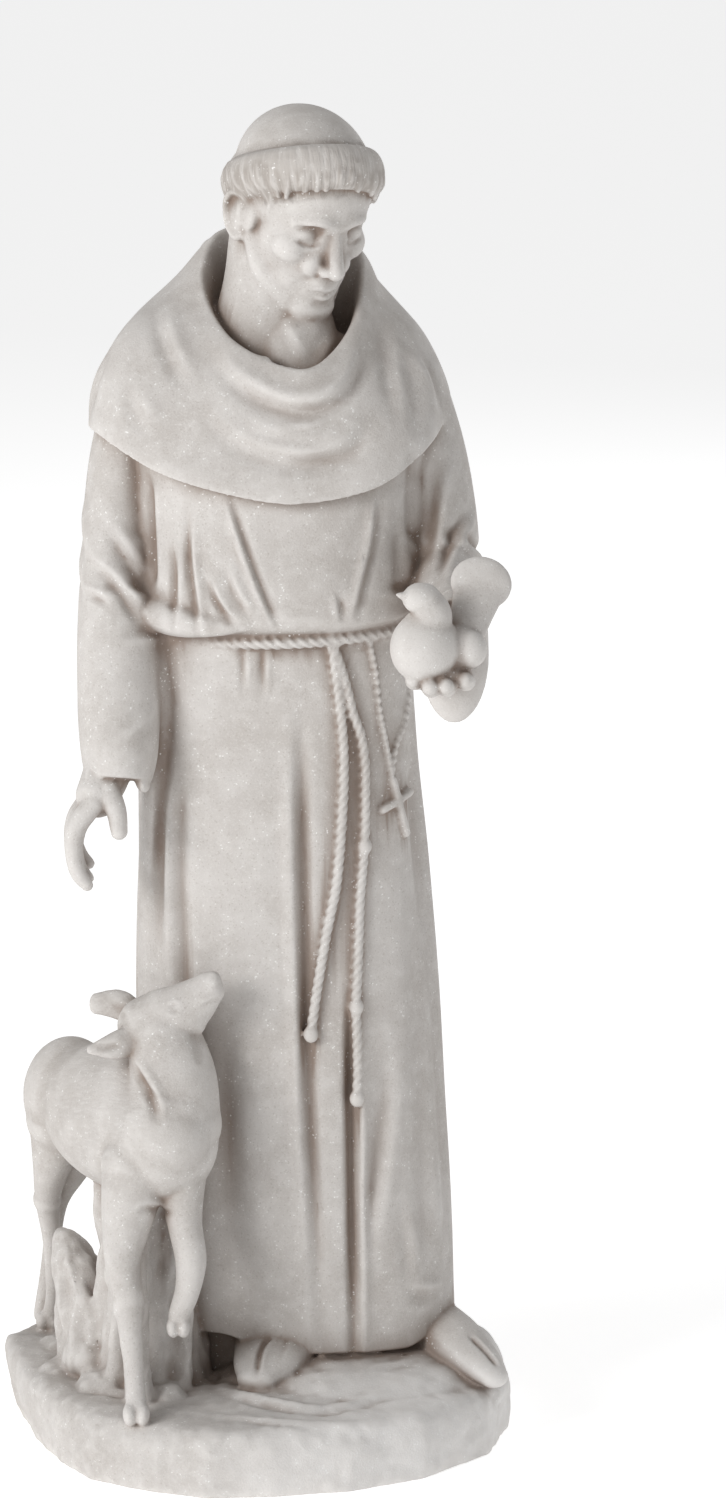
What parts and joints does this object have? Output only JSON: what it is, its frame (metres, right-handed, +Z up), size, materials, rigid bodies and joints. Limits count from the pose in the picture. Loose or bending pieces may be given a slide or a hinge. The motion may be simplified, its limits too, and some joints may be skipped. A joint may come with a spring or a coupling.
{
  "type": "friar statue",
  "caption": "Free-standing garden statue cast in one piece: a robed friar with a dove on his hand and a fawn at his side, on a rough plinth.",
  "frame": {"origin": "middle of the bounding box on the flat underside", "axes": "+Z up, the friar faces -Y, his right hand and the fawn are at -X"},
  "size_m": [0.1534, 0.1286, 0.4003],
  "materials": {
    "cast_marble": "matt, fine sparkling grain"
  },
  "bodies": {
    "root": {"friar_statue": "cast_marble"}
  },
  "joints": []
}
